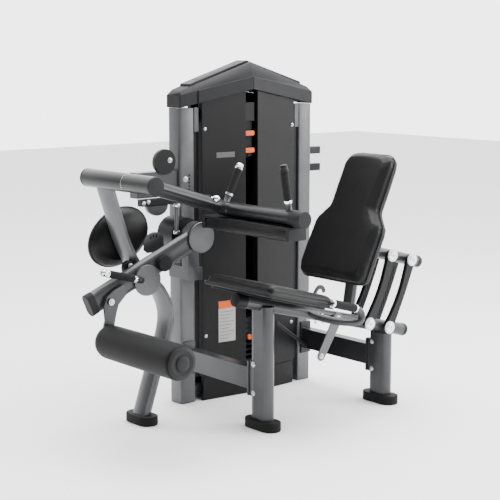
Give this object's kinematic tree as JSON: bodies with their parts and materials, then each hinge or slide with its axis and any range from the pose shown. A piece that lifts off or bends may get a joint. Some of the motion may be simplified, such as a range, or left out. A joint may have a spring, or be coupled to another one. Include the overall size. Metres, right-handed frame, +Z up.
{
  "type": "seated leg machine",
  "caption": "Seated leg machine with a selectorised weight tower, swinging foot roller, hinged thigh pad and four-bar backrest",
  "frame": {"origin": "middle of the machine's plan, on the floor", "axes": "+X from the foot roller to the backrest, +Y from the bench to the weight tower, +Z up"},
  "size_m": [1.6146, 0.995, 1.532],
  "materials": {
    "frame_paint": "satin metallic grey powder coat",
    "dark_paint": "satin near-black powder coat",
    "shroud_plastic": "fine-textured dark grey moulded shroud",
    "black_plastic": "black moulded plastic",
    "rubber": "black rubber",
    "upholstery": "black vinyl over foam",
    "bright_steel": "bright plated steel",
    "plate_steel": "black coated steel plates",
    "orange_plastic": "orange moulded plastic"
  },
  "bodies": {
    "frame": {"left_upright": "frame_paint", "right_upright": "frame_paint", "base_beam": "frame_paint", "top_beam": "frame_paint", "roof_cap": "shroud_plastic", "shroud_left": "shroud_plastic", "shroud_right": "shroud_plastic", "shroud_rear": "shroud_plastic", "base_skirt": "shroud_plastic", "resting_plates": "plate_steel", "guide_rod_left": "bright_steel", "guide_rod_right": "bright_steel", "pulley_bracket": "frame_paint", "pulley_cover": "dark_paint", "accessory_bracket": "dark_paint", "front_post": "frame_paint", "front_foot": "rubber", "rear_post": "frame_paint", "rear_foot": "rubber", "front_floor_beam": "frame_paint", "rear_floor_beam": "dark_paint", "diagonal_brace": "frame_paint", "seat_rail": "frame_paint", "seat_board": "black_plastic", "seat_pad": "upholstery", "seat_handle_near": "frame_paint", "seat_handle_far": "frame_paint", "front_leg": "frame_paint", "leg_foot": "rubber", "arm_bracket": "frame_paint", "pivot_housing": "frame_paint", "cam_cover": "black_plastic", "counterbalance_cover": "black_plastic"},
    "stack": {"lifted_plates": "plate_steel", "stack_cable": "rubber"},
    "pin": {"selector_pin": "orange_plastic"},
    "addon_upper": {"addon_selector_upper": "orange_plastic"},
    "addon_lower": {"addon_selector_lower": "orange_plastic"},
    "pulley": {"top_pulley": "black_plastic"},
    "cam": {"drive_cam": "bright_steel"},
    "arm": {"lever_arm": "frame_paint", "adjuster_disc": "frame_paint"},
    "knob": {"arm_knob": "black_plastic"},
    "handle": {"start_handle": "black_plastic"},
    "link": {"roller_link": "frame_paint", "roller_axle": "bright_steel"},
    "roller": {"foam_roller": "upholstery"},
    "thigh": {"thigh_arm": "dark_paint", "thigh_pad": "upholstery"},
    "front_links": {"link_front_near": "black_plastic", "link_front_far": "black_plastic", "pivot_pin_lower_front": "bright_steel", "pivot_pin_upper_front": "bright_steel"},
    "rear_links": {"link_rear_near": "black_plastic", "link_rear_far": "black_plastic", "pivot_pin_lower_rear": "bright_steel", "pivot_pin_upper_rear": "bright_steel"},
    "back": {"back_carriage": "frame_paint", "back_pad": "upholstery"},
    "release": {"back_release_lever": "frame_paint"}
  },
  "joints": [
    {"name": "curl_swing", "type": "hinge", "parent": "frame", "child": "cam", "pos_m": [-0.2343, 0.2515, 0.796], "axis": [0, -1, 0], "range_deg": [0, 45]},
    {"name": "start_position", "type": "hinge", "parent": "cam", "child": "arm", "pos_m": [-0.2343, 0.1665, 0.796], "axis": [0, -1, 0], "range_deg": [-35, 0]},
    {"name": "arm_knob_pull", "type": "slide", "parent": "arm", "child": "knob", "axis": [0, -1, 0], "range_m": [0, 0.01], "stiffness_N_per_m": 900, "springref_m": -0.006},
    {"name": "start_handle_pull", "type": "hinge", "parent": "arm", "child": "handle", "pos_m": [-0.5693, 0.1251, 0.652], "axis": [0, 1, 0], "range_deg": [0, 20], "stiffness_Nm_per_rad": 3, "springref_deg": -22.92},
    {"name": "roller_link_tilt", "type": "hinge", "parent": "arm", "child": "link", "pos_m": [-0.7093, 0.1291, 0.576], "axis": [0, -1, 0], "range_deg": [-10, 10]},
    {"name": "roller_spin", "type": "hinge", "parent": "link", "child": "roller", "pos_m": [-0.7293, -0.1355, 0.417], "axis": [0, 1, 0], "continuous": true},
    {"name": "thigh_arm_lift", "type": "hinge", "parent": "frame", "child": "thigh", "pos_m": [-0.6543, 0.0015, 1.063], "axis": [0, -1, 0], "range_deg": [0, 40]},
    {"name": "stack_lift", "type": "slide", "parent": "frame", "child": "stack", "axis": [0, 0, 1], "range_m": [0, 0.3], "deforming": ["stack_cable"]},
    {"name": "selector_pin_pull", "type": "slide", "parent": "stack", "child": "pin", "axis": [0, -1, 0], "range_m": [0, 0.03]},
    {"name": "addon_upper_slide", "type": "slide", "parent": "frame", "child": "addon_upper", "axis": [1, 0, 0], "range_m": [0, 0.01]},
    {"name": "addon_lower_slide", "type": "slide", "parent": "frame", "child": "addon_lower", "axis": [1, 0, 0], "range_m": [0, 0.01]},
    {"name": "top_pulley_turn", "type": "hinge", "parent": "frame", "child": "pulley", "pos_m": [0.2637, 0.4165, 1.205], "axis": [0, 1, 0], "range_deg": [-350, 350]},
    {"name": "back_adjust", "type": "hinge", "parent": "frame", "child": "front_links", "pos_m": [0.4407, -0.1485, 0.38499], "axis": [0, 1, 0], "range_deg": [-25, 15]},
    {"name": "rear_link_turn", "type": "hinge", "parent": "frame", "child": "rear_links", "pos_m": [0.5657, -0.1485, 0.35232], "axis": [0, 1, 0], "range_deg": [-26, 16]},
    {"name": "back_level", "type": "hinge", "parent": "front_links", "child": "back", "pos_m": [0.5777, -0.1485, 0.67999], "axis": [0, 1, 0], "range_deg": [-16, 26]},
    {"name": "release_lever_pull", "type": "hinge", "parent": "frame", "child": "release", "pos_m": [0.2627, -0.188, 0.43153], "axis": [0, 1, 0], "range_deg": [0, 20], "stiffness_Nm_per_rad": 0.8, "springref_deg": -22.92}
  ],
  "couplings": [
    {"joint": "stack_lift", "follows": "curl_swing", "m_per_rad": 0.35},
    {"joint": "top_pulley_turn", "follows": "curl_swing", "ratio": 7.2917},
    {"joint": "rear_link_turn", "follows": "back_adjust", "ratio": 1},
    {"joint": "back_level", "follows": "back_adjust", "ratio": -1}
  ]
}
